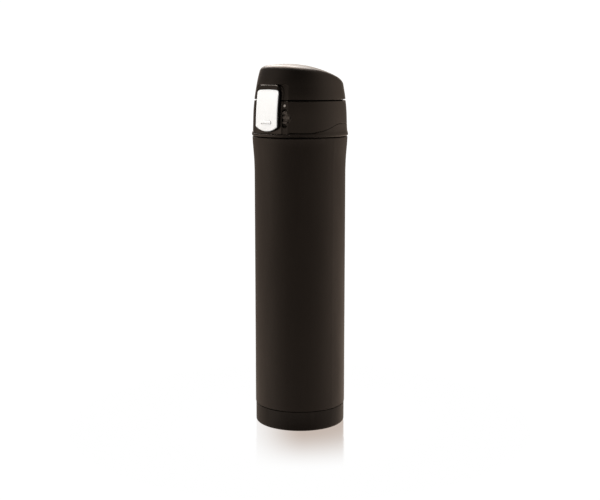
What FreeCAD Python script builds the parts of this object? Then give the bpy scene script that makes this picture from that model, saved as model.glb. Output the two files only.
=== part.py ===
"""A 450 ml vacuum flask with a screw-on drinking collar, a flip lid, a push button and a lock.

Millimetres, +Z up, origin at the middle of the base. The button faces -Y, the lid hinge is at
+Y and the lock slider is on the +X side of the button. Each piece goes to parts/NAME.step.
"""
import FreeCAD
import Part
import math
import os

V = FreeCAD.Vector

# Body
BODY_RADIUS = 30.9
WALL = 0.6
FLARE_Z = 168.0
SHOULDER_RADIUS = 32.2
SHOULDER_Z = 198.4
BASE_CUP_RADIUS = 30.62
SLEEVE_RADIUS = 29.9
BOTTOM_PLATE_Z = 4.2
VESSEL_RADIUS = 28.2
VESSEL_BOTTOM_Z = 9.5
VESSEL_SHOULDER_Z = 184.0
NECK_RADIUS = 23.4
MOUTH_RADIUS = 21.4
MOUTH_Z = 214.0

# Screw thread between the neck and the collar
PITCH = 4.0
RIDGE_TURNS = 1.6
NECK_RIDGE_Z = 204.0
NECK_CREST = 24.25
SKIRT_BORE = 24.6
SKIRT_CREST = 23.7

# Collar, from the body seam to the lid seam
COLLAR_Z = 198.9
COLLAR_TOP_Z = 222.4
SKIRT_RADIUS = 25.9
PLUG_RADIUS = 19.8
PLUG_BOTTOM_Z = 202.5
SKIRT_TOP_Z = 217.2
DECK_Z = 218.8
DECK = 1.4
RIM_INNER = 26.4
RIM_OUTER = 27.8
RIM_TOP_Z = 224.0
TRIM_SEAM_Z = 201.5
TRIM_GROOVE = 0.35
SPOUT_TOP_Z = 231.5

# Lid
LID_Z = 223.2
LID_WALL = 2.0
CROWN_Z = 246.6
CROWN_Y = -11.4
CROWN_SIDE_RADIUS = 77.0
CROWN_FRONT = 0.0042
CROWN_REAR = 0.0089
LID_EDGE = 3.9
LID_EDGE_INSIDE = 3.4

# Sunk front panel and the raised frame round the button
PANEL_RADIUS = 31.7
PANEL_FLAT = 28.45
PANEL_HALF = 12.0
PANEL_SLOPE = 0.277
PANEL_WALL = 1.3
PANEL_LOW_Z = 200.8
PANEL_HIGH_Z = 233.3
PANEL_CORNER = 6.0
FRAME_HALF = 12.2
FRAME_FRONT = 0.921
FRAME_HIGH_Z = 232.8
BROW_FRONT = 1.008
BROW_HALF = 9.4
BROW_HIGH_Z = 232.9
BROW_CORNER = 3.0

# Button
BUTTON_HALF = 10.1
BUTTON_LOW_Z = 202.5
BUTTON_HIGH_Z = 230.0
BUTTON_GAP = 0.45
BUTTON_FACE = 1.2
BUTTON_RIM = 1.9
BUTTON_PIN_Y = -28.2
BUTTON_PIN_Z = 214.0
BUTTON_PIN_RADIUS = 0.7
GRIP_HALF = 4.7
GRIP_LOW_Z = 207.7
GRIP_HIGH_Z = 209.5

# Lock
LOCK_X = 13.8
SLOT_WIDTH = 3.9
SLOT_LOW_Z = 205.1
SLOT_HIGH_Z = 217.5
SLIDER_WIDTH = 3.3
SLIDER_LOW_Z = 207.6
SLIDER_HIGH_Z = 216.0
MARK_Z = 219.5
MARK_RADIUS = 0.8

# Hinge
HINGE_Y = 31.5
HINGE_Z = 222.8
KNUCKLE_RADIUS = 2.4
KNUCKLE_HALF = 4.6
KNUCKLE_END = 8.0
HINGE_PIN_RADIUS = 0.95
SWEEP_RADIUS = 2.9

# Side outline of collar and lid, as (height, radius)
OUTLINE = [
    (190.0, 31.95), (204.0, 31.85), (208.0, 31.72), (213.4, 31.56), (217.4, 31.3),
    (221.4, 30.9), (224.1, 30.62), (226.8, 30.25), (229.5, 29.8), (232.1, 29.34),
    (234.8, 28.85), (238.8, 27.95), (242.0, 27.1), (250.0, 24.8),
]
# Height of the trim seam above its front level, as (y, rise)
TRIM_WAVE = [
    (-16.0, 0.0), (-13.4, 0.55), (-9.8, 1.2), (-7.5, 1.8), (-4.7, 2.7), (-2.1, 3.6),
    (0.7, 4.75), (2.8, 5.4), (7.1, 5.8), (11.4, 5.65), (20.0, 5.3),
]


def straight(*points):
    """Straight edges through (r, z) points."""
    spots = [V(r, 0, z) for r, z in points]
    return [Part.LineSegment(a, b).toShape() for a, b in zip(spots, spots[1:])]


def arc(*points):
    """One round edge through three (r, z) points."""
    return [Part.Arc(*[V(r, 0, z) for r, z in points]).toShape()]


def smooth(*points):
    """One smooth edge through four or more (r, z) points."""
    curve = Part.BSplineCurve()
    curve.interpolate([V(r, 0, z) for r, z in points])
    return [curve.toShape()]


def turned(*runs):
    """A solid turned about Z from runs of edges that follow on from each other."""
    edges = [edge for run in runs for edge in run]
    start = edges[0].Vertexes[0].Point
    end = edges[-1].Vertexes[-1].Point
    if start.distanceToPoint(end) > 1e-6:
        edges.append(Part.LineSegment(end, start).toShape())
    return Part.Face(Part.Wire(edges)).revolve(V(0, 0, 0), V(0, 0, 1), 360)


def box(x0, x1, y0, y1, z0, z1):
    return Part.makeBox(x1 - x0, y1 - y0, z1 - z0, V(x0, y0, z0))


def rod(radius, x0, x1, y, z):
    """A cylinder that lies along X."""
    return Part.makeCylinder(radius, x1 - x0, V(x0, y, z), V(1, 0, 0))


def tube(inner, outer, z0, z1):
    body = Part.makeCylinder(outer, z1 - z0, V(0, 0, z0))
    return body.cut(Part.makeCylinder(inner, z1 - z0, V(0, 0, z0)))


def side_prism(points, x0, x1):
    """A polygon of (y, z) points drawn out along X."""
    spots = [V(x0, y, z) for y, z in points]
    return Part.Face(Part.makePolygon(spots + spots[:1])).extrude(V(x1 - x0, 0, 0))


def along_front(edges):
    """A closed run of edges in the XZ plane drawn out towards -Y, from y -15 to y -45."""
    face = Part.Face(Part.Wire(edges))
    face.translate(V(0, -15, 0))
    return face.extrude(V(0, -30, 0))


def rounded(half, low, high, low_radius, high_radius):
    """A plate on the front, half wide each side, with its four corners rounded."""
    plate = box(-half, half, -45, -15, low, high)
    for level, radius in ((low, low_radius), (high, high_radius)):
        if radius:
            corners = [
                e for e in plate.Edges
                if e.BoundBox.YLength > 29 and abs(e.BoundBox.ZMin - level) < 0.01
            ]
            plate = plate.makeFillet(radius, corners)
    return plate


def radius_at(z):
    """Radius of the side outline at a height."""
    for (z0, r0), (z1, r1) in zip(OUTLINE, OUTLINE[1:]):
        if z0 <= z <= z1:
            return r0 + (r1 - r0) * (z - z0) / (z1 - z0)
    return OUTLINE[-1][1]


LEVELS = [196.0, 204.0, 212.0, 218.0, 223.0, 228.0, 233.0, 238.0, 244.0, 249.0]


def core(inset):
    """What lies behind the front panel's floor: flat in the middle, with two sloping flanks."""
    far = 36.0
    flank = PANEL_FLAT - PANEL_SLOPE * (far - PANEL_HALF)
    rings = []
    for z in LEVELS:
        grow = radius_at(z) / PANEL_RADIUS
        outline = [
            (-far, -flank), (-PANEL_HALF, -PANEL_FLAT), (PANEL_HALF, -PANEL_FLAT),
            (far, -flank), (far, 45.0), (-far, 45.0),
        ]
        spots = [V(x * grow, y * grow + inset, z) for x, y in outline]
        rings.append(Part.makePolygon(spots + spots[:1]))
    return Part.makeLoft(rings, True, False)


def front_slab(share, inset, half):
    """What lies behind a front surface that follows the side outline, half wide each side."""
    curve = Part.BSplineCurve()
    curve.interpolate([V(-half, -(share * radius_at(z) - inset), z) for z in LEVELS])
    edges = [curve.toShape()]
    low = edges[0].Vertexes[0].Point
    high = edges[0].Vertexes[-1].Point
    back = [high, V(-half, -10, high.z), V(-half, -10, low.z), low]
    edges += [Part.LineSegment(a, b).toShape() for a, b in zip(back, back[1:])]
    return Part.Face(Part.Wire(edges)).extrude(V(2 * half, 0, 0))


def button_outline(grow):
    """The button's outline drawn out towards -Y, grown all round by a gap."""
    side = BUTTON_HALF + grow
    low = BUTTON_LOW_Z - grow
    high = BUTTON_HIGH_Z + grow
    corner = high - 3.0
    edges = arc((-side, low + 3.1), (0, low), (side, low + 3.1))
    edges += straight((side, low + 3.1), (side, corner))
    edges += arc((side, corner), (side - 0.8, corner + 2.0), (side - 2.8, corner + 2.75))
    edges += arc((side - 2.8, corner + 2.75), (0, high), (2.8 - side, corner + 2.75))
    edges += arc((2.8 - side, corner + 2.75), (0.8 - side, corner + 2.0), (-side, corner))
    edges += straight((-side, corner), (-side, low + 3.1))
    return along_front(edges)


def ridge(root, crest, z, half_root, half_crest):
    """A right-hand thread ridge that starts at a height."""
    path = Part.Wire(Part.makeHelix(PITCH, PITCH * RIDGE_TURNS, root))
    section = [
        V(root, 0, -half_root), V(crest, 0, -half_crest),
        V(crest, 0, half_crest), V(root, 0, half_root),
    ]
    solid = path.makePipeShell([Part.makePolygon(section + section[:1])], True, True)
    solid.translate(V(0, 0, z))
    return solid


def coil(radius, wire, pitch, turns, x0, y, z):
    """A wire coil whose axis lies along X. The wire has twelve flats."""
    path = Part.Wire(Part.makeHelix(pitch, pitch * turns, radius))
    angles = [math.pi * side / 6 for side in range(12)]
    section = [V(radius + wire * math.cos(a), 0, wire * math.sin(a)) for a in angles]
    ring = Part.makePolygon(section + section[:1])
    solid = path.makePipeShell([ring], True, True)
    solid.rotate(V(0, 0, 0), V(0, 1, 0), 90)
    solid.translate(V(x0, y, z))
    return solid


def one(shape):
    """A single shape, with its split faces joined where that leaves it whole."""
    joined = shape.copy().removeSplitter()
    if joined.isValid() and abs(joined.Volume - shape.Volume) < 0.001 * shape.Volume:
        shape = joined
    return shape.Solids[0] if len(shape.Solids) == 1 else shape


# Flask body
def outer_shell():
    flare = [
        (BODY_RADIUS, FLARE_Z), (31.0, 179.0), (31.25, 184.3), (31.68, 189.7),
        (32.08, 195.0), (SHOULDER_RADIUS, 197.8),
    ]
    outside = (
        straight((SLEEVE_RADIUS, 4.0), (SLEEVE_RADIUS, 13.2), (BODY_RADIUS - 0.3, 13.9))
        + arc((BODY_RADIUS - 0.3, 13.9), (BODY_RADIUS - 0.08, 14.05), (BODY_RADIUS, 14.3))
        + straight((BODY_RADIUS, 14.3), (BODY_RADIUS, FLARE_Z))
        + smooth(*flare)
        + arc((SHOULDER_RADIUS, 197.8), (32.03, 198.22), (31.6, SHOULDER_Z))
        + straight((31.6, SHOULDER_Z), (24.9, SHOULDER_Z))
        + arc((24.9, SHOULDER_Z), (23.84, 198.84), (NECK_RADIUS, 199.9))
        + straight((NECK_RADIUS, 199.9), (NECK_RADIUS, 213.3), (NECK_RADIUS - WALL, 213.3))
    )
    inside = (
        straight((NECK_RADIUS - WALL, 213.3), (NECK_RADIUS - WALL, 199.9))
        + arc((NECK_RADIUS - WALL, 199.9), (23.41, 198.41), (24.9, SHOULDER_Z - WALL))
        + straight((24.9, SHOULDER_Z - WALL), (31.4, SHOULDER_Z - WALL))
        + smooth(
            (31.4, SHOULDER_Z - WALL), (31.5, 195.2), (31.09, 189.8), (30.66, 184.4),
            (30.41, 179.0), (BODY_RADIUS - WALL, FLARE_Z),
        )
        + straight(
            (BODY_RADIUS - WALL, FLARE_Z), (BODY_RADIUS - WALL, 14.6),
            (SLEEVE_RADIUS - WALL, 13.6), (SLEEVE_RADIUS - WALL, 4.0), (SLEEVE_RADIUS, 4.0),
        )
    )
    shell = turned(outside, inside)
    return one(shell.fuse(ridge(NECK_RADIUS - 0.3, NECK_CREST, NECK_RIDGE_Z, 0.85, 0.45)))


def inner_vessel():
    inner = VESSEL_RADIUS - 0.5
    neck = MOUTH_RADIUS + 0.6
    outside = (
        smooth((0, VESSEL_BOTTOM_Z + 1.2), (9, VESSEL_BOTTOM_Z + 1.0), (18, 9.9), (22, 9.5))
        + smooth((22, 9.5), (25.6, 10.4), (27.6, 12.9), (VESSEL_RADIUS, 16.5))
        + straight((VESSEL_RADIUS, 16.5), (VESSEL_RADIUS, VESSEL_SHOULDER_Z))
        + smooth(
            (VESSEL_RADIUS, VESSEL_SHOULDER_Z), (27.2, 189.0), (24.6, 193.3), (22.6, 196.3),
            (neck, 199.0),
        )
        + straight((neck, 199.0), (neck, 213.4), (NECK_RADIUS, 213.4), (NECK_RADIUS, 213.7))
        + arc((NECK_RADIUS, 213.7), (23.3, 213.91), (23.1, MOUTH_Z))
    )
    inside = (
        straight((23.1, MOUTH_Z), (MOUTH_RADIUS + 0.4, MOUTH_Z))
        + arc((MOUTH_RADIUS + 0.4, MOUTH_Z), (21.52, 213.88), (MOUTH_RADIUS, 213.6))
        + straight((MOUTH_RADIUS, 213.6), (MOUTH_RADIUS, 198.8))
        + smooth(
            (MOUTH_RADIUS, 198.8), (22.1, 196.0), (24.15, 192.9), (26.7, 188.8),
            (inner, VESSEL_SHOULDER_Z),
        )
        + straight((inner, VESSEL_SHOULDER_Z), (inner, 16.5))
        + smooth((inner, 16.5), (27.15, 13.2), (25.3, 10.9), (22, 10.0))
        + smooth((22, 10.0), (18, 10.4), (9, 11.0), (0, 11.2))
    )
    return turned(outside, inside)


def base_cup():
    return turned(
        straight((0, 0.8), (23.4, 0.8), (24.4, 0), (29.1, 0))
        + arc((29.1, 0), (30.18, 0.44), (BASE_CUP_RADIUS, 1.5))
        + straight((BASE_CUP_RADIUS, 1.5), (BASE_CUP_RADIUS, 13.1))
        + arc((BASE_CUP_RADIUS, 13.1), (30.56, 13.32), (30.36, 13.42))
        + straight(
            (30.36, 13.42), (SLEEVE_RADIUS + 0.05, 12.9), (SLEEVE_RADIUS + 0.05, 3.6),
            (28.6, 2.4), (0, 2.4), (0, 0.8),
        )
    )


def bottom_plate():
    edge = SLEEVE_RADIUS - WALL - 0.05
    low = BOTTOM_PLATE_Z
    return turned(
        straight(
            (0, 6.2), (7.6, 6.2), (9.2, low), (edge, low), (edge, low + 2.2),
            (edge - 0.6, low + 2.2), (edge - 0.6, low + 0.6), (9.5, low + 0.6), (7.9, 6.8),
            (0, 6.8), (0, 6.2),
        )
    )


def vacuum_seal():
    return turned(straight((0, 4.6), (3.2, 4.6), (4.2, 5.2), (4.2, 6.15), (0, 6.15), (0, 4.6)))


def getter():
    return tube(2.2, 5.5, 6.85, 8.0)


def radiation_foil():
    return tube(VESSEL_RADIUS + 0.08, VESSEL_RADIUS + 0.26, 20.0, 180.0)


# Collar
def wave_region(shift):
    """Everything below the trim seam, moved up by a shift."""
    front = TRIM_SEAM_Z + shift
    wave = [V(-40, y, front + rise) for y, rise in TRIM_WAVE]
    curve = Part.BSplineCurve()
    curve.interpolate(wave, InitialTangent=V(0, 1, 0), FinalTangent=V(0, 1, -0.02))
    spots = [
        wave[-1], V(-40, 45, wave[-1].z - 0.3), V(-40, 45, 180), V(-40, -45, 180),
        V(-40, -45, front), wave[0],
    ]
    edges = [curve.toShape()]
    edges += [Part.LineSegment(a, b).toShape() for a, b in zip(spots, spots[1:])]
    return Part.Face(Part.Wire(edges)).extrude(V(80, 0, 0))


def panel_cut():
    """What is removed in front of the panel's floor."""
    plate = rounded(17.2, PANEL_LOW_Z, PANEL_HIGH_Z, 0, PANEL_CORNER)
    return plate.cut(core(0))


def button_frame():
    """The raised frame round the button, over collar and lid."""
    plate = rounded(FRAME_HALF, PANEL_LOW_Z, FRAME_HIGH_Z, 0, 4.8)
    frame = plate.common(front_slab(FRAME_FRONT, 0, 14.0))
    front = [
        e for e in frame.Edges
        if e.BoundBox.YMin < -26.5 and e.BoundBox.YMax < -26.0 and e.BoundBox.ZMax > 204
    ]
    frame = frame.makeFillet(0.5, front)
    return frame.cut(button_outline(BUTTON_GAP))


def button_brow():
    """The lip of the frame that stands out over the top of the button."""
    plate = rounded(BROW_HALF, BUTTON_HIGH_Z - 1.0, BROW_HIGH_Z, 0, BROW_CORNER)
    brow = plate.common(front_slab(BROW_FRONT, 0, 14.0))
    front = [
        e for e in brow.Edges
        if e.BoundBox.YMax < -28.0 and e.BoundBox.ZMax > BUTTON_HIGH_Z - 0.5
    ]
    brow = brow.makeFillet(0.5, front)
    return brow.cut(button_outline(BUTTON_GAP))


def side_outline(z0, z1, inset):
    """Points of the side outline between two heights, set in by a wall."""
    inner = [z for z, _ in OUTLINE if z0 + 0.8 < z < z1 - 0.8]
    return [(radius_at(z) - inset, z) for z in [z0] + inner + [z1]]


def lock_frame(shape, z):
    """Moves a shape, drawn with X across and -Y outward, onto the right flank of the panel."""
    grow = radius_at(z) / PANEL_RADIUS
    y = -(PANEL_FLAT - PANEL_SLOPE * (LOCK_X - PANEL_HALF))
    shape.rotate(V(0, 0, 0), V(0, 0, 1), math.degrees(math.atan(PANEL_SLOPE)))
    shape.translate(V(LOCK_X * grow, y * grow, 0))
    return shape


def upright_slot(width, low, high, y0, y1):
    """A slot with round ends, drawn out along Y."""
    plate = box(-width / 2, width / 2, y0, y1, low, high)
    corners = [e for e in plate.Edges if abs(e.BoundBox.YLength - (y1 - y0)) < 0.01]
    return plate.makeFillet(width / 2 - 0.01, corners)


def collar_band():
    """The trim ring at the foot of the collar, with a web in to the thread carrier."""
    inner = SKIRT_RADIUS + 0.02
    band = turned(
        straight((inner, COLLAR_Z), (31.9, COLLAR_Z))
        + smooth(
            (31.9, COLLAR_Z), (32.42, 199.25), (32.56, 200.0), (32.42, 200.9), (32.12, 202.0),
            (31.92, 203.4), (31.8, 205.5), (31.7, 210.0),
        )
        + straight(
            (31.7, 210.0), (30.2, 210.0), (30.2, 200.4), (inner, 200.4), (inner, COLLAR_Z))
    )
    above = box(-40, 40, -40, 40, 180, 240).cut(wave_region(0))
    outside = tube(30.0, 45.0, 200.5, 240.0)
    band = band.cut(above.common(outside))
    band = band.cut(rounded(17.4, PANEL_LOW_Z - 0.1, 240, 0, 0).common(tube(27.0, 60, 200.4, 240)))
    upstand = tube(28.3, 29.3, 200.2, 208.0).cut(box(-20, 20, -40, -18, 190, 240))
    return one(band.fuse(upstand))


def thread_carrier():
    """The skirt that screws onto the neck, and the flange over the mouth."""
    inner = PLUG_RADIUS + 0.02
    skirt = turned(
        straight(
            (SKIRT_BORE, COLLAR_Z), (SKIRT_RADIUS, COLLAR_Z), (SKIRT_RADIUS, SKIRT_TOP_Z),
            (inner, SKIRT_TOP_Z), (inner, SKIRT_TOP_Z - 1.4), (SKIRT_BORE, SKIRT_TOP_Z - 1.4),
            (SKIRT_BORE, COLLAR_Z),
        )
    )
    thread_z = NECK_RIDGE_Z - PITCH / 2
    return one(skirt.fuse(ridge(SKIRT_BORE + 0.3, SKIRT_CREST, thread_z, 0.85, 0.45)))


def plug_sleeve():
    """The tube that reaches down into the mouth and carries the gasket."""
    bore = PLUG_RADIUS - 1.5
    return turned(
        straight(
            (bore, PLUG_BOTTOM_Z), (PLUG_RADIUS, PLUG_BOTTOM_Z), (PLUG_RADIUS, 204.5),
            (PLUG_RADIUS - 1.0, 204.5), (PLUG_RADIUS - 1.0, 207.5), (PLUG_RADIUS, 207.5),
            (PLUG_RADIUS, SKIRT_TOP_Z), (bore, SKIRT_TOP_Z), (bore, PLUG_BOTTOM_Z),
        )
    )


def collar_deck():
    """The plate that closes the collar, with a rim that the lid comes down over."""
    top = DECK_Z + DECK
    plate = tube(20.2, 29.15, DECK_Z, top).common(core(PANEL_WALL + 0.05))
    rim = tube(RIM_INNER, RIM_OUTER, top - 0.1, RIM_TOP_Z).common(core(2.2))
    return one(plate.fuse(rim))


def collar_cover():
    points = side_outline(PANEL_LOW_Z, COLLAR_TOP_Z - 0.4, 0)
    rim = radius_at(COLLAR_TOP_Z)
    outer = turned(
        straight((0, PANEL_LOW_Z), points[0])
        + smooth(*points)
        + arc(points[-1], (rim - 0.1, COLLAR_TOP_Z - 0.12), (rim - 0.4, COLLAR_TOP_Z))
        + straight((rim - 0.4, COLLAR_TOP_Z), (0, COLLAR_TOP_Z))
    )
    cover = outer.cut(panel_cut())
    inside = turned(
        straight((0, 190), (29.95, 190))
        + smooth((29.95, 190.0), (29.95, 210.0), (29.6, 217.0), (28.9, 223.0))
        + straight((28.9, 223.0), (28.9, 226.0), (0, 226.0), (0, 190))
    ).common(core(PANEL_WALL))
    cover = cover.cut(inside)
    frame = button_frame().common(box(-20, 20, -45, -27.6, PANEL_LOW_Z, COLLAR_TOP_Z))
    cover = cover.fuse(frame)
    above = box(-40, 40, -40, 40, 180, 240).cut(wave_region(TRIM_GROOVE))
    front = rounded(16.6, PANEL_LOW_Z, 240, 0, 0)
    cover = cover.common(above.fuse(front))
    through = button_outline(BUTTON_GAP).common(box(-20, 20, -45, -20, 190, 217.2))
    cover = cover.cut(through)
    cover = cover.cut(rod(BUTTON_PIN_RADIUS + 0.02, -11.8, 11.8, BUTTON_PIN_Y, BUTTON_PIN_Z))
    slot = upright_slot(SLOT_WIDTH, SLOT_LOW_Z, SLOT_HIGH_Z, -4, 3.2)
    cover = cover.cut(lock_frame(slot, 211))
    scoop = box(-1.0, 4.4, -4, 0.85, 208.6, 214.2)
    round_end = [
        e for e in scoop.Edges
        if e.BoundBox.YLength > 4 and abs(e.BoundBox.XMin - 4.4) < 0.01
    ]
    cover = cover.cut(lock_frame(scoop.makeFillet(2.0, round_end), 211))
    pocket = Part.makeCylinder(MARK_RADIUS + 0.05, 8, V(-0.2, 4, MARK_Z), V(0, -1, 0))
    cover = cover.cut(lock_frame(pocket, MARK_Z).cut(core(0.4)))
    near = KNUCKLE_HALF + 0.1
    far = KNUCKLE_END + 0.1
    for x0, x1 in ((-far, -near), (near, far)):
        cover = cover.cut(rod(SWEEP_RADIUS, x0, x1, HINGE_Y, HINGE_Z))
    lug = [(33.34, 221.26), (30.4, 217.76), (29.9, 218.5), (29.3, 222.2), (HINGE_Y, HINGE_Z)]
    cover = cover.fuse(side_prism(lug, -KNUCKLE_HALF, KNUCKLE_HALF))
    cover = cover.fuse(rod(KNUCKLE_RADIUS, -KNUCKLE_HALF, KNUCKLE_HALF, HINGE_Y, HINGE_Z))
    cover = cover.cut(rod(1.95, -3.0, 3.0, HINGE_Y, HINGE_Z))
    cover = cover.cut(rod(HINGE_PIN_RADIUS + 0.03, -9, 9, HINGE_Y, HINGE_Z))
    return one(cover)


def spout():
    body = turned(
        straight((17.5, 217.5), (19.1, 217.5), (19.1, 220.4), (23.4, 220.4), (23.4, 221.3))
        + straight((23.4, 221.3), (19.1, 221.3))
        + smooth((19.1, 221.3), (18.7, 224.0), (17.8, 227.5), (17.2, 230.6))
        + arc((17.2, 230.6), (16.7, 231.3), (16.0, SPOUT_TOP_Z))
        + arc((16.0, SPOUT_TOP_Z), (15.6, 231.3), (15.5, 230.9))
        + smooth((15.5, 230.9), (16.1, 228.0), (16.9, 225.4), (17.4, 223.6))
        + straight((17.4, 223.6), (0, 223.6), (0, 222.2), (17.5, 222.2), (17.5, 217.5))
    )
    body = body.cut(Part.makeCylinder(7.5, 4, V(0, -7.0, 221)))
    return one(body.cut(Part.makeCylinder(1.6, 4, V(0, 12.0, 221))))


def mouth_gasket():
    return turned(
        straight((18.9, 204.6), (20.3, 204.6), (21.3, 205.2), (21.3, 205.6), (20.5, 205.9))
        + straight((20.5, 205.9), (20.5, 206.2), (21.3, 206.5), (21.3, 206.9), (20.3, 207.4))
        + straight((20.3, 207.4), (18.9, 207.4), (18.9, 204.6))
    )


def hinge_pin():
    return rod(HINGE_PIN_RADIUS, -KNUCKLE_END, KNUCKLE_END, HINGE_Y, HINGE_Z)


def hinge_spring():
    return coil(1.45, 0.28, 0.85, 5.0, -2.12, HINGE_Y, HINGE_Z)


def button_pin():
    return rod(BUTTON_PIN_RADIUS, -11.7, 11.7, BUTTON_PIN_Y, BUTTON_PIN_Z)


def button_spring():
    return coil(1.1, 0.22, 0.8, 5.0, -2.0, BUTTON_PIN_Y, BUTTON_PIN_Z)


def lock_mark():
    dot = lock_frame(Part.makeCylinder(MARK_RADIUS, 8, V(-0.2, 4, MARK_Z), V(0, -1, 0)), MARK_Z)
    return one(dot.common(core(-0.06)).cut(core(0.36)))


# Lid
def crown(inset):
    """What lies under the lid's crown: humped along Y and rounded across X."""
    front = [-45.0, -36.0, -27.0, -18.0]
    rear = [0.0, 10.0, 20.0, 30.0, 45.0]
    top = CROWN_Z - inset
    spots = [V(0, y, top - CROWN_FRONT * (y - CROWN_Y) ** 2) for y in front]
    spots.append(V(0, CROWN_Y, top))
    spots += [V(0, y, top - CROWN_REAR * (y - CROWN_Y) ** 2) for y in rear]
    curve = Part.BSplineCurve()
    curve.interpolate(spots)
    axis_z = CROWN_Z - CROWN_SIDE_RADIUS
    loop = [spots[-1], V(0, 45, axis_z + 20), V(0, -45, axis_z + 20), spots[0]]
    edges = [curve.toShape()]
    edges += [Part.LineSegment(a, b).toShape() for a, b in zip(loop, loop[1:])]
    face = Part.Face(Part.Wire(edges))
    face.rotate(V(0, 0, axis_z), V(0, 1, 0), -40)
    return face.revolve(V(0, 0, axis_z), V(0, 1, 0), 80)


def lid_block(inset, edge):
    """The lid's outer form, set in by a wall, with its crown edge rounded."""
    points = side_outline(LID_Z, 250.0, inset)
    lip = 0.35 if inset == 0 else 0.0
    low = LID_Z if inset == 0 else LID_Z - 1.0
    foot = points[0][0]
    if lip:
        points[0] = (foot - 0.03, LID_Z + lip)
        base = straight((0, low), (foot - lip, low)) + arc(
            (foot - lip, low), (foot - 0.12, low + 0.1), points[0]
        )
    else:
        base = straight((0, low), (foot, low), points[0])
    side = turned(base + smooth(*points) + straight(points[-1], (0, 250.0), (0, low)))
    block = side.common(crown(inset))
    rim = [e for e in block.Edges if e.BoundBox.ZMin > 228 and e.BoundBox.XLength > 5]
    return block.makeFillet(edge, rim)


def lid_shell():
    block = lid_block(0, LID_EDGE).cut(panel_cut())
    block = block.cut(lid_block(LID_WALL, LID_EDGE_INSIDE).common(core(PANEL_WALL)))
    frame = button_frame().common(box(-20, 20, -45, -23.0, LID_Z, 240))
    block = block.fuse(frame.fuse(button_brow()).cut(core(0.4)))
    catch = box(-5.5, 5.5, -45, -15, 225.8, 228.4)
    block = block.cut(catch.cut(core(0.7)).common(front_slab(0.9, 0, 8.0)))
    near = KNUCKLE_HALF + 0.1
    block = block.cut(rod(SWEEP_RADIUS, -near, near, HINGE_Y, HINGE_Z))
    lug = [(33.34, 224.34), (29.2, 229.27), (28.7, 229.0), (29.0, 223.5), (HINGE_Y, HINGE_Z)]
    for x0, x1 in ((-KNUCKLE_END, -KNUCKLE_HALF - 0.2), (KNUCKLE_HALF + 0.2, KNUCKLE_END)):
        block = block.fuse(side_prism(lug, x0, x1))
        block = block.fuse(rod(KNUCKLE_RADIUS, x0, x1, HINGE_Y, HINGE_Z))
    block = block.cut(rod(HINGE_PIN_RADIUS + 0.06, -9, 9, HINGE_Y, HINGE_Z))
    return one(block)


def lid_liner():
    liner = turned(
        straight(
            (20.5, 227.6), (27.8, 227.6), (27.8, 229.0), (21.9, 229.0), (21.9, 233.4),
            (20.9, 234.9), (0, 234.9), (0, 233.5), (20.5, 233.5), (20.5, 227.6),
        )
    )
    return one(liner.common(core(2.2)))


def spout_seal():
    return turned(
        straight(
            (0, 230.3), (14.0, 230.3), (14.4, SPOUT_TOP_Z + 0.1), (18.6, SPOUT_TOP_Z + 0.1),
            (18.9, 232.3), (18.4, 233.4), (0, 233.4), (0, 230.3),
        )
    )


# Button
def release_button():
    face = front_slab(1.0, 0, 14.0).common(button_outline(0))
    front = [e for e in face.Edges if e.BoundBox.YMax < -29.0]
    face = face.makeFillet(0.8, front)
    face = face.cut(front_slab(1.0, BUTTON_RIM, 14.0))
    hollow = button_outline(-0.75).common(front_slab(1.0, BUTTON_FACE, 14.0))
    face = face.cut(hollow)
    groove = box(-GRIP_HALF, GRIP_HALF, -45, -30, GRIP_LOW_Z - 0.4, GRIP_LOW_Z)
    face = face.cut(groove.cut(front_slab(1.0, 0.3, 14.0)))
    grip = box(-GRIP_HALF, GRIP_HALF, -32.15, -31.0, GRIP_LOW_Z, GRIP_HIGH_Z)
    front_edges = [e for e in grip.Edges if e.BoundBox.YMax < -32.1]
    return one(face.fuse(grip.makeFillet(0.25, front_edges)))


def button_lever():
    plate = button_outline(-0.9).common(front_slab(1.0, BUTTON_FACE + 0.05, 14.0))
    plate = plate.cut(front_slab(1.0, BUTTON_RIM + 0.1, 14.0))
    plate = plate.fuse(rod(1.5, -9.0, -3.1, BUTTON_PIN_Y, BUTTON_PIN_Z))
    plate = plate.fuse(rod(1.5, 3.1, 9.0, BUTTON_PIN_Y, BUTTON_PIN_Z))
    web = box(3.1, 9.0, -30.1, -28.6, 212.5, 215.5)
    plate = plate.fuse([web, web.mirror(V(0, 0, 0), V(1, 0, 0))])
    plate = plate.cut(box(-3.1, 3.1, -45, -20, 211.9, 216.1))
    plate = plate.cut(rod(BUTTON_PIN_RADIUS + 0.06, -11, 11, BUTTON_PIN_Y, BUTTON_PIN_Z))
    hook = [(-28.7, 226.0), (-27.8, 226.0), (-27.8, 226.8), (-28.6, 228.0)]
    foot = [(-29.9, 207.0), (-27.4, 207.0), (-27.4, 208.6), (-29.9, 209.6)]
    plate = plate.fuse(side_prism(hook, -4.5, 4.5))
    plate = plate.fuse(side_prism(foot, 7.6, 8.8))
    return one(plate.cut(front_slab(1.0, 0, 14.0).cut(front_slab(1.0, BUTTON_FACE + 0.04, 14.0))))


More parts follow.
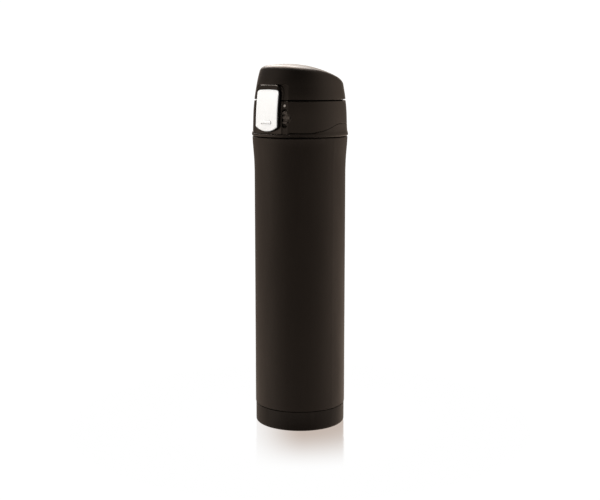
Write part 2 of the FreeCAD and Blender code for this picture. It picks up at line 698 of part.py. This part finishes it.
# Lock
def lock_slider():
    half = SLIDER_WIDTH / 2
    block = upright_slot(SLIDER_WIDTH, SLIDER_LOW_Z, SLIDER_HIGH_Z, 1.2, 2.3)
    block = block.fuse(box(-2.5, 2.5, 2.2, 3.0, 206.6, 216.4))
    for low, high in ((208.0, 209.3), (210.9, 212.7), (214.3, 215.6)):
        bar = box(-half, half, -0.15, 1.3, low, high)
        front = [e for e in bar.Edges if e.BoundBox.YMax < -0.1]
        block = block.fuse(bar.makeFillet(0.3, front))
    thumb = box(half - 0.5, 3.5, -0.15, 0.7, 210.9, 212.7)
    front = [e for e in thumb.Edges if e.BoundBox.YMax < -0.1]
    block = block.fuse(thumb.makeFillet(0.3, front))
    block = lock_frame(block, 211)
    tab = box(8.0, 11.6, -26.35, -25.75, 206.6, 208.1)
    return one(block.fuse(tab))


def pieces():
    return {
        "outer_shell": outer_shell,
        "inner_vessel": inner_vessel,
        "base_cup": base_cup,
        "bottom_plate": bottom_plate,
        "vacuum_seal": vacuum_seal,
        "getter": getter,
        "radiation_foil": radiation_foil,
        "collar_band": collar_band,
        "collar_cover": collar_cover,
        "collar_deck": collar_deck,
        "thread_carrier": thread_carrier,
        "plug_sleeve": plug_sleeve,
        "spout": spout,
        "mouth_gasket": mouth_gasket,
        "hinge_pin": hinge_pin,
        "hinge_spring": hinge_spring,
        "button_pin": button_pin,
        "button_spring": button_spring,
        "lock_mark": lock_mark,
        "lid_shell": lid_shell,
        "lid_liner": lid_liner,
        "spout_seal": spout_seal,
        "release_button": release_button,
        "button_lever": button_lever,
        "lock_slider": lock_slider,
    }


def main():
    os.makedirs("parts", exist_ok=True)
    for name, make in pieces().items():
        shape = make()
        box_ = shape.BoundBox
        print(name, shape.isValid(), len(shape.Solids), round(shape.Volume, 1),
              [round(v, 1) for v in (box_.XLength, box_.YLength, box_.ZMin, box_.ZMax)])
        shape.exportStep("parts/" + name + ".step")


main()
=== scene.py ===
"""Studio scene of a slim vacuum flask with a flip lid: CAD frame, materials, floor, lights and camera."""
import math

import bpy
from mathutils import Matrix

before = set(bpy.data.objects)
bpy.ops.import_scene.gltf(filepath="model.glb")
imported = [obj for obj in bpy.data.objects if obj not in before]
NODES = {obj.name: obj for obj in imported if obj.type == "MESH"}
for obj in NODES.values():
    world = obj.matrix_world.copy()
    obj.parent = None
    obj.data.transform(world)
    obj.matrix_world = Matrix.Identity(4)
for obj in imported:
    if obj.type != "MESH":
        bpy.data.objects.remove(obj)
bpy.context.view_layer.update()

# Camera: its azimuth from the front, distance from the flask's axis, height, and downward tilt
VIEW_AZIMUTH = math.radians(45.0)
VIEW_DISTANCE = 0.792
VIEW_HEIGHT = 0.245
VIEW_TILT = math.radians(8.97)
LENS = 69.86
SENSOR = 36.0

# The ring of light: its brightness by the angle in degrees from the camera's side, positive to the right
FRONT = (math.sin(VIEW_AZIMUTH), -math.cos(VIEW_AZIMUTH), 0.0)
RIGHT = (math.cos(VIEW_AZIMUTH), math.sin(VIEW_AZIMUTH), 0.0)
RING_ANGLES = (-180, -150, -125, -105, -90, -74, -52, -28, 0, 28, 55, 80, 105, 130, 155, 180)
RING_LIGHT = {
    "low": (1.00, 0.80, 0.70, 0.90, 1.05, 0.90, 0.24, 0.06, 0.00, 0.04, 0.30, 0.72, 1.20, 1.50, 1.20, 1.00),
    "level": (0.30, 0.20, 0.24, 0.75, 1.35, 1.05, 0.55, 0.62, 0.90, 0.64, 0.74, 0.95, 0.90, 0.45, 0.16, 0.30),
    "high": (0.10, 0.03, 0.01, 0.05, 0.22, 0.30, 0.14, 0.04, 0.00, 0.08, 0.45, 0.70, 0.60, 0.30, 0.10, 0.10),
}
LIGHT_COLOUR = (1.0, 0.965, 0.93, 1)
REAR_COLOUR = (1.0, 0.82, 0.68, 1)
REAR_BLEND = (1.2, 2.3)
BACKDROP_LIGHT = 1.05

# Heights in the sky, as the upward part of a direction, between which one ring of light blends into the next
LOW_BLEND = (-0.26, -0.10)
HIGH_BLEND = (0.0, 0.3)
CROWN_BLEND = (0.55, 0.95)
CROWN_SHARE = 0.45

# The wall behind the flask, leaning back, and the softbox overhead, whose edges are parts of a direction
WALL_LIGHT = 1.1
WALL_TILT = math.radians(20.0)
WALL_EDGE = (0.82, 0.95)
TOP_LIGHT = 13.0
TOP_COLOUR = (1.0, 0.97, 0.94, 1)
TOP_FULL_COLOUR = 2.0
TOP_NEAR_EDGE = (-0.14, 0.02)
TOP_RIGHT_EDGE = (-0.02, 0.24)
TOP_LEFT_EDGE = (-0.68, -0.50)
TOP_LOW_EDGE = (0.34, 0.62)

# The lamp that lights the button alone
LAMP_SIZE = 0.35
LAMP_ENERGY = 4.5
LAMP_PLACE = (-0.15, -0.80, 0.55)
LAMP_TURN = (math.radians(65.0), 0.0, math.radians(-10.0))

# The floor mirrors the flask near its foot, more strongly to the right; to the left a painted glow stands in
# for light flooding the floor, and under the mirror the floor glows a warm grey, painted shade
FLOOR_RADIUS = 0.16
FLOOR_SIDES = 96
FLOOR_DROP = 0.0002
FLOOR_SHADE = (0.545, 0.461, 0.408, 1)
FLOOR_MIRROR = (0.42, 0.60, 0.78, 1)
FLOOR_ROUGHNESS = 0.1
MIRROR_INNER = 0.028
MIRROR_OUTER = 0.108
MIRROR_SIDE = (-0.034, 0.004)
MIRROR_LEFT_SHARE = 0.22

# Finishes
WHITE = (1.0, 1.0, 1.0, 1)
SHEEN_TINT = (1.0, 0.79, 0.64, 1.0)
EDGE_ROUND = 0.0004
SHARP_ANGLE = math.radians(32.0)
BODY_BLACK = (0.0078, 0.0056, 0.0043, 1)
# Lighter colours for sharp edges: edge wear together with a painted highlight
BODY_EDGE_WEAR_AND_HIGHLIGHT = (0.024, 0.019, 0.016, 1)
BASE_BLACK = (0.0032, 0.0024, 0.0019, 1)
BASE_EDGE_WEAR_AND_HIGHLIGHT = (0.016, 0.013, 0.011, 1)
SHELL_BLACK = (0.0014, 0.0011, 0.0009, 1)
DECK_BLACK = (0.0020, 0.0018, 0.0016, 1)
INNER_BLACK = (0.010, 0.010, 0.010, 1)
SLIDER_BLACK = (0.080, 0.067, 0.058, 1)
# Painted shade for the button's sides
BUTTON_SIDE_SHADE = (0.012, 0.010, 0.009, 1)
BUTTON_WHITE = (0.95, 0.95, 0.94, 1)
MARK_CREAM = (0.46, 0.42, 0.38, 1)
STEEL_GREY = (0.66, 0.65, 0.63, 1)
WIRE_GREY = (0.52, 0.52, 0.53, 1)
FOIL_COPPER = (0.80, 0.56, 0.42, 1)
RUBBER_GREY = (0.42, 0.42, 0.41, 1)


class Graph:
    """A small helper that adds shader nodes and links them."""

    def __init__(self, tree):
        self.tree = tree
        self.shader = tree.nodes.get("Principled BSDF")

    def add(self, kind, inputs=None, **settings):
        node = self.tree.nodes.new(kind)
        for key, value in settings.items():
            setattr(node, key, value)
        for key, value in (inputs or {}).items():
            self.put(node, key, value)
        return node

    def put(self, node, key, value):
        if isinstance(value, bpy.types.NodeSocket):
            self.tree.links.new(value, node.inputs[key])
        else:
            node.inputs[key].default_value = value

    def set(self, **values):
        for key, value in values.items():
            self.put(self.shader, key.replace("_", " "), value)

    def coordinate(self, kind="Object"):
        return self.add("ShaderNodeTexCoord").outputs[kind]

    def noise(self, scale, detail=3.0, rough=0.55, vector=None):
        source = vector or self.coordinate()
        settings = {"Vector": source, "Scale": scale, "Detail": detail, "Roughness": rough}
        return self.add("ShaderNodeTexNoise", settings).outputs["Fac"]

    def stretched(self, x, y, z):
        settings = {"Vector": self.coordinate(), "Scale": (x, y, z)}
        return self.add("ShaderNodeMapping", settings).outputs["Vector"]

    def remap(self, value, low, high, to_low, to_high, smooth=False):
        settings = {"Value": value, "From Min": low, "From Max": high, "To Min": to_low, "To Max": to_high}
        kind = "SMOOTHSTEP" if smooth else "LINEAR"
        return self.add("ShaderNodeMapRange", settings, interpolation_type=kind).outputs["Result"]

    def ramp(self, value, reach, to_low=0.0, to_high=1.0):
        """A smooth change from one level to another over a reach of the value."""
        return self.remap(value, reach[0], reach[1], to_low, to_high, smooth=True)

    def maths(self, operation, first, second=0.0):
        return self.add("ShaderNodeMath", {0: first, 1: second}, operation=operation).outputs[0]

    def times(self, first, second):
        return self.maths("MULTIPLY", first, second)

    def lerp(self, factor, first, second):
        return self.add("ShaderNodeMix", {0: factor, 2: first, 3: second}).outputs[0]

    def dot(self, vector, direction):
        settings = {0: vector, 1: direction}
        return self.add("ShaderNodeVectorMath", settings, operation="DOT_PRODUCT").outputs["Value"]

    def blend(self, factor, first, second):
        mix = self.add("ShaderNodeMix", data_type="RGBA")
        self.put(mix, 0, factor)
        self.put(mix, 6, first)
        self.put(mix, 7, second)
        return mix.outputs[2]

    def edges(self, reach):
        """Bright where the surface turns a sharp convex corner; it masks the painted edge highlight."""
        point = self.add("ShaderNodeNewGeometry").outputs["Pointiness"]
        return self.remap(point, 0.5, 0.5 + reach, 0.0, 1.0)

    def bump(self, height, strength, distance, edge_round=0.0):
        """Fine relief, and if asked corners that shade as if they were rounded."""
        settings = {"Height": height, "Strength": strength, "Distance": distance}
        if edge_round:
            corner = self.add("ShaderNodeBevel", {"Radius": edge_round}, samples=6)
            settings["Normal"] = corner.outputs["Normal"]
        self.set(Normal=self.add("ShaderNodeBump", settings).outputs["Normal"])


def new_material(name):
    material = bpy.data.materials.new(name)
    material.use_nodes = True
    return material, Graph(material.node_tree)


def scaled(colour, factor, lift=0.0):
    return [min(1.0, c * factor + lift) for c in colour[:3]] + [1.0]


def powder_coat(name, colour, edge_wear_and_highlight, specular):
    """Soft black coating with a fine orange-peel grain, faint handling marks, and lighter sharp edges that
    are edge wear together with a painted highlight.
    """
    material, g = new_material(name)
    cloud = g.noise(18.0, 4.0, 0.6)
    smear = g.noise(1.0, 5.0, 0.65, g.stretched(55.0, 55.0, 14.0))
    tone = g.blend(g.remap(cloud, 0.35, 0.7, 0.0, 1.0), colour, scaled(colour, 1.2))
    # Sharp edges take the lighter colour: edge wear together with a painted highlight
    g.set(Base_Color=g.blend(g.edges(0.06), tone, edge_wear_and_highlight))
    g.set(Roughness=g.remap(smear, 0.35, 0.7, 0.47, 0.57))
    g.set(Specular_IOR_Level=specular, Specular_Tint=SHEEN_TINT)
    g.bump(g.noise(2600.0, 2.0, 0.6), 0.2, 0.00006)
    return material


def moulded(name, colour, rough, grain_scale, grain_height, specular=0.5, edge_round=0.0):
    """Moulded plastic with a spark-eroded grain, uneven gloss and corners lightened as a painted highlight.
    """
    material, g = new_material(name)
    smear = g.noise(1.0, 4.0, 0.6, g.stretched(60.0, 60.0, 40.0))
    cloud = g.noise(35.0, 3.0, 0.5)
    tone = g.blend(g.remap(cloud, 0.3, 0.7, 0.0, 1.0), colour, scaled(colour, 1.25))
    # Sharp corners are lightened as a painted highlight
    g.set(Base_Color=g.blend(g.edges(0.08), tone, scaled(colour, 1.8, 0.003)))
    g.set(Roughness=g.remap(smear, 0.3, 0.7, rough[0], rough[1]))
    g.set(Specular_IOR_Level=specular, Specular_Tint=SHEEN_TINT)
    g.bump(g.noise(grain_scale, 2.0, 0.5), 0.18, grain_height, edge_round)
    return material


def face_with_painted_side_shade(name, colour, side_shade_colour, rough):
    """Satin plastic, coloured on the side that is pressed, with painted shade darkening its sides."""
    material, g = new_material(name)
    smear = g.noise(1.0, 4.0, 0.6, g.stretched(60.0, 60.0, 40.0))
    tone = g.blend(g.remap(smear, 0.3, 0.7, 0.0, 1.0), colour, scaled(colour, 0.97))
    # Faces turned away from the front take the dark colour, painted shade on the button's sides
    facing = g.ramp(g.dot(g.coordinate("Normal"), (0.0, -1.0, 0.0)), (0.25, 0.6))
    g.set(Base_Color=g.blend(facing, side_shade_colour, tone))
    g.set(Roughness=g.remap(smear, 0.3, 0.7, rough[0], rough[1]))
    g.bump(g.noise(1400.0, 2.0, 0.5), 0.18, 0.00002)
    return material


def metal(name, colour, rough, stretch, mark_height):
    """Metal with fine drawn or turned marks."""
    material, g = new_material(name)
    marks = g.noise(1.0, 4.0, 0.6, g.stretched(*stretch))
    cloud = g.noise(60.0, 3.0, 0.5)
    g.set(Base_Color=g.blend(g.remap(cloud, 0.35, 0.7, 0.0, 1.0), colour, scaled(colour, 0.88)))
    g.set(Metallic=1.0)
    g.set(Roughness=g.remap(marks, 0.3, 0.7, rough[0], rough[1]))
    g.bump(marks, 0.2, mark_height)
    return material


def silicone(name, colour):
    """Translucent silicone rubber with a dusty bloom."""
    material, g = new_material(name)
    cloud = g.noise(120.0, 3.0, 0.6)
    g.set(Base_Color=g.blend(g.remap(cloud, 0.35, 0.7, 0.0, 1.0), colour, scaled(colour, 1.2)))
    g.set(Roughness=g.remap(cloud, 0.3, 0.7, 0.42, 0.56))
    g.set(Subsurface_Weight=0.15, Subsurface_Radius=(0.002, 0.0018, 0.0015))
    g.bump(g.noise(1500.0, 2.0, 0.5), 0.12, 0.00005)
    return material


def finishes():
    """Every material, with the nodes that wear it."""
    body = powder_coat("body_coat", BODY_BLACK, BODY_EDGE_WEAR_AND_HIGHLIGHT, specular=0.385)
    base = powder_coat("base_coat", BASE_BLACK, BASE_EDGE_WEAR_AND_HIGHLIGHT, specular=0.24)
    shell = moulded("lid_plastic", SHELL_BLACK, (0.36, 0.42), 1500.0, 0.00005, edge_round=EDGE_ROUND)
    deck = moulded("deck_plastic", DECK_BLACK, (0.7, 0.8), 900.0, 0.00005, specular=0.15)
    inner = moulded("inner_plastic", INNER_BLACK, (0.36, 0.46), 1200.0, 0.00005)
    slider = moulded("slider_plastic", SLIDER_BLACK, (0.34, 0.44), 1200.0, 0.00004)
    mark = moulded("mark_inlay", MARK_CREAM, (0.34, 0.44), 900.0, 0.00003)
    white = face_with_painted_side_shade("button_white", BUTTON_WHITE, BUTTON_SIDE_SHADE, (0.26, 0.34))
    steel = metal("vessel_steel", STEEL_GREY, (0.22, 0.34), (60.0, 60.0, 1800.0), 0.00002)
    wire = metal("spring_wire", WIRE_GREY, (0.25, 0.36), (800.0, 800.0, 800.0), 0.00001)
    foil = metal("foil_metal", FOIL_COPPER, (0.18, 0.30), (300.0, 300.0, 300.0), 0.00003)
    rubber = silicone("seal_silicone", RUBBER_GREY)
    return {
        body: ["outer_shell"],
        base: ["base_cup"],
        shell: ["collar_band", "collar_cover", "lid_shell"],
        deck: ["collar_deck"],
        inner: ["spout", "lid_liner", "button_lever", "thread_carrier", "plug_sleeve"],
        white: ["release_button"],
        slider: ["lock_slider"],
        mark: ["lock_mark"],
        steel: ["inner_vessel", "bottom_plate", "hinge_pin", "button_pin"],
        wire: ["vacuum_seal", "getter", "hinge_spring", "button_spring"],
        foil: ["radiation_foil"],
        rubber: ["mouth_gasket", "spout_seal"],
    }


def dress_nodes():
    """Gives every node its material and smooth shading that keeps its sharp edges."""
    for material, names in finishes().items():
        for name in names:
            mesh = NODES[name].data
            mesh.materials.clear()
            mesh.materials.append(material)
            mesh.shade_smooth()
            mesh.set_sharp_from_angle(angle=SHARP_ANGLE)


def floor_material():
    """White and glowing right across, with a mirror that fades away from the foot and, as painted light, to
    the left.
    """
    material, g = new_material("floor_gloss")
    place = g.coordinate()
    distance = g.add("ShaderNodeVectorMath", {0: place}, operation="LENGTH").outputs["Value"]
    mirror = g.ramp(distance, (MIRROR_INNER, MIRROR_OUTER), 1.0, 0.0)
    # Weaker mirror to the left: the plain white glow there is painted light flooding the floor
    side = g.ramp(g.dot(place, RIGHT), MIRROR_SIDE, MIRROR_LEFT_SHARE, 1.0)
    cloud = g.remap(g.noise(3.0, 3.0, 0.5), 0.3, 0.7, 0.97, 1.0)
    mirror = g.times(g.times(mirror, side), cloud)
    plain = g.add("ShaderNodeEmission", {"Color": WHITE})
    # Under the mirror the floor glows a warm grey, painted shade that the glossy reflection of the bright
    # studio brings back to white
    shade = g.add("ShaderNodeEmission", {"Color": FLOOR_SHADE})
    gloss = g.add("ShaderNodeBsdfGlossy", {"Color": FLOOR_MIRROR, "Roughness": FLOOR_ROUGHNESS})
    wet = g.add("ShaderNodeAddShader", {0: shade.outputs[0], 1: gloss.outputs[0]})
    mix = g.add("ShaderNodeMixShader", {0: mirror, 1: plain.outputs[0], 2: wet.outputs[0]})
    g.tree.links.new(mix.outputs[0], g.tree.nodes["Material Output"].inputs["Surface"])
    return material


def floor():
    """A round white table top just under the flask."""
    turns = [2 * math.pi * i / FLOOR_SIDES for i in range(FLOOR_SIDES)]
    ring = [(FLOOR_RADIUS * math.cos(turn), FLOOR_RADIUS * math.sin(turn), 0.0) for turn in turns]
    mesh = bpy.data.meshes.new("floor")
    mesh.from_pydata(ring, [], [tuple(range(FLOOR_SIDES))])
    mesh.materials.append(floor_material())
    table = bpy.data.objects.new("floor", mesh)
    table.location.z = -FLOOR_DROP
    table.visible_glossy = False
    bpy.context.scene.collection.objects.link(table)


def ring_light(g, place, levels):
    """Light round the flask as a smooth ramp over the angle."""
    ramp = g.add("ShaderNodeValToRGB", {"Fac": place})
    ramp.color_ramp.interpolation = "B_SPLINE"
    elements = ramp.color_ramp.elements
    brightest = max(levels)
    for degrees, light in zip(RING_ANGLES[1:-1], levels[1:-1]):
        share = light / brightest
        elements.new(degrees / 360.0 + 0.5).color = (share, share, share, 1.0)
    for end, light in ((0, levels[0]), (-1, levels[-1])):
        share = light / brightest
        elements[end].color = (share, share, share, 1.0)
    return g.times(ramp.outputs["Color"], brightest)


def ring_of_light(g, angle, height):
    """The three rings, blended by height and dimmed towards straight up."""
    place = g.remap(angle, -math.pi, math.pi, 0.0, 1.0)
    low, level, high = [ring_light(g, place, RING_LIGHT[name]) for name in ("low", "level", "high")]
    ring = g.lerp(g.ramp(height, HIGH_BLEND), level, high)
    ring = g.lerp(g.ramp(height, LOW_BLEND, 1.0, 0.0), ring, low)
    return g.times(ring, g.ramp(height, CROWN_BLEND, 1.0, CROWN_SHARE))


def rear_wall(g, where):
    """A bright wall behind the flask."""
    way = [-c * math.cos(WALL_TILT) for c in FRONT[:2]] + [math.sin(WALL_TILT)]
    return g.ramp(g.dot(where, way), WALL_EDGE, 0.0, WALL_LIGHT)


def top_light(g, where, height):
    """A softbox overhead, behind the flask and a little to the left."""
    across = g.dot(where, RIGHT)
    right_edge = g.ramp(across, TOP_RIGHT_EDGE, 1.0, 0.0)
    left_edge = g.ramp(across, TOP_LEFT_EDGE)
    near_edge = g.ramp(g.dot(where, FRONT), TOP_NEAR_EDGE, 1.0, 0.0)
    low_edge = g.ramp(height, TOP_LOW_EDGE, 0.0, TOP_LIGHT)
    return g.times(g.times(near_edge, low_edge), g.times(right_edge, left_edge))


def studio():
    """Light round, behind and over the flask, and a plain white backdrop that only the camera sees."""
    world = bpy.data.worlds.new("studio")
    bpy.context.scene.world = world
    world.use_nodes = True
    g = Graph(world.node_tree)
    where = g.coordinate("Generated")
    angle = g.maths("ARCTAN2", g.dot(where, RIGHT), g.dot(where, FRONT))
    height = g.add("ShaderNodeSeparateXYZ", {0: where}).outputs["Z"]
    top = top_light(g, where, height)
    around = g.maths("MAXIMUM", ring_of_light(g, angle, height), rear_wall(g, where))
    strength = g.maths("MAXIMUM", around, top)
    rear = g.ramp(g.maths("ABSOLUTE", angle), REAR_BLEND)
    colour = g.blend(rear, LIGHT_COLOUR, REAR_COLOUR)
    colour = g.blend(g.remap(top, 0.0, TOP_FULL_COLOUR, 0.0, 1.0), colour, TOP_COLOUR)
    light = g.add("ShaderNodeBackground", {"Color": colour, "Strength": strength})
    backdrop = world.node_tree.nodes["Background"]
    g.put(backdrop, "Color", WHITE)
    g.put(backdrop, "Strength", BACKDROP_LIGHT)
    eye = g.add("ShaderNodeLightPath").outputs["Is Camera Ray"]
    mix = g.add("ShaderNodeMixShader", {0: eye, 1: light.outputs[0], 2: backdrop.outputs[0]})
    g.tree.links.new(mix.outputs[0], g.tree.nodes["World Output"].inputs["Surface"])


def button_light():
    """A soft light from the front left that is set up for the white button alone."""
    lamp = bpy.data.lights.new("button_light", "AREA")
    lamp.shape = "DISK"
    lamp.size = LAMP_SIZE
    lamp.energy = LAMP_ENERGY
    obj = bpy.data.objects.new("button_light", lamp)
    obj.location = LAMP_PLACE
    obj.rotation_euler = LAMP_TURN
    bpy.context.scene.collection.objects.link(obj)
    lit = bpy.data.collections.new("lit_by_button_light")
    lit.objects.link(NODES["release_button"])
    obj.light_linking.receiver_collection = lit


def camera():
    """The camera at the front right, level with the flask's top and looking slightly down."""
    data = bpy.data.cameras.new("camera")
    data.sensor_width = SENSOR
    data.lens = LENS
    obj = bpy.data.objects.new("camera", data)
    obj.location = (FRONT[0] * VIEW_DISTANCE, FRONT[1] * VIEW_DISTANCE, VIEW_HEIGHT)
    obj.rotation_euler = (math.pi / 2 - VIEW_TILT, 0, VIEW_AZIMUTH)
    bpy.context.scene.collection.objects.link(obj)
    bpy.context.scene.camera = obj


dress_nodes()
floor()
studio()
button_light()
camera()
bpy.context.scene.view_settings.view_transform = "Standard"
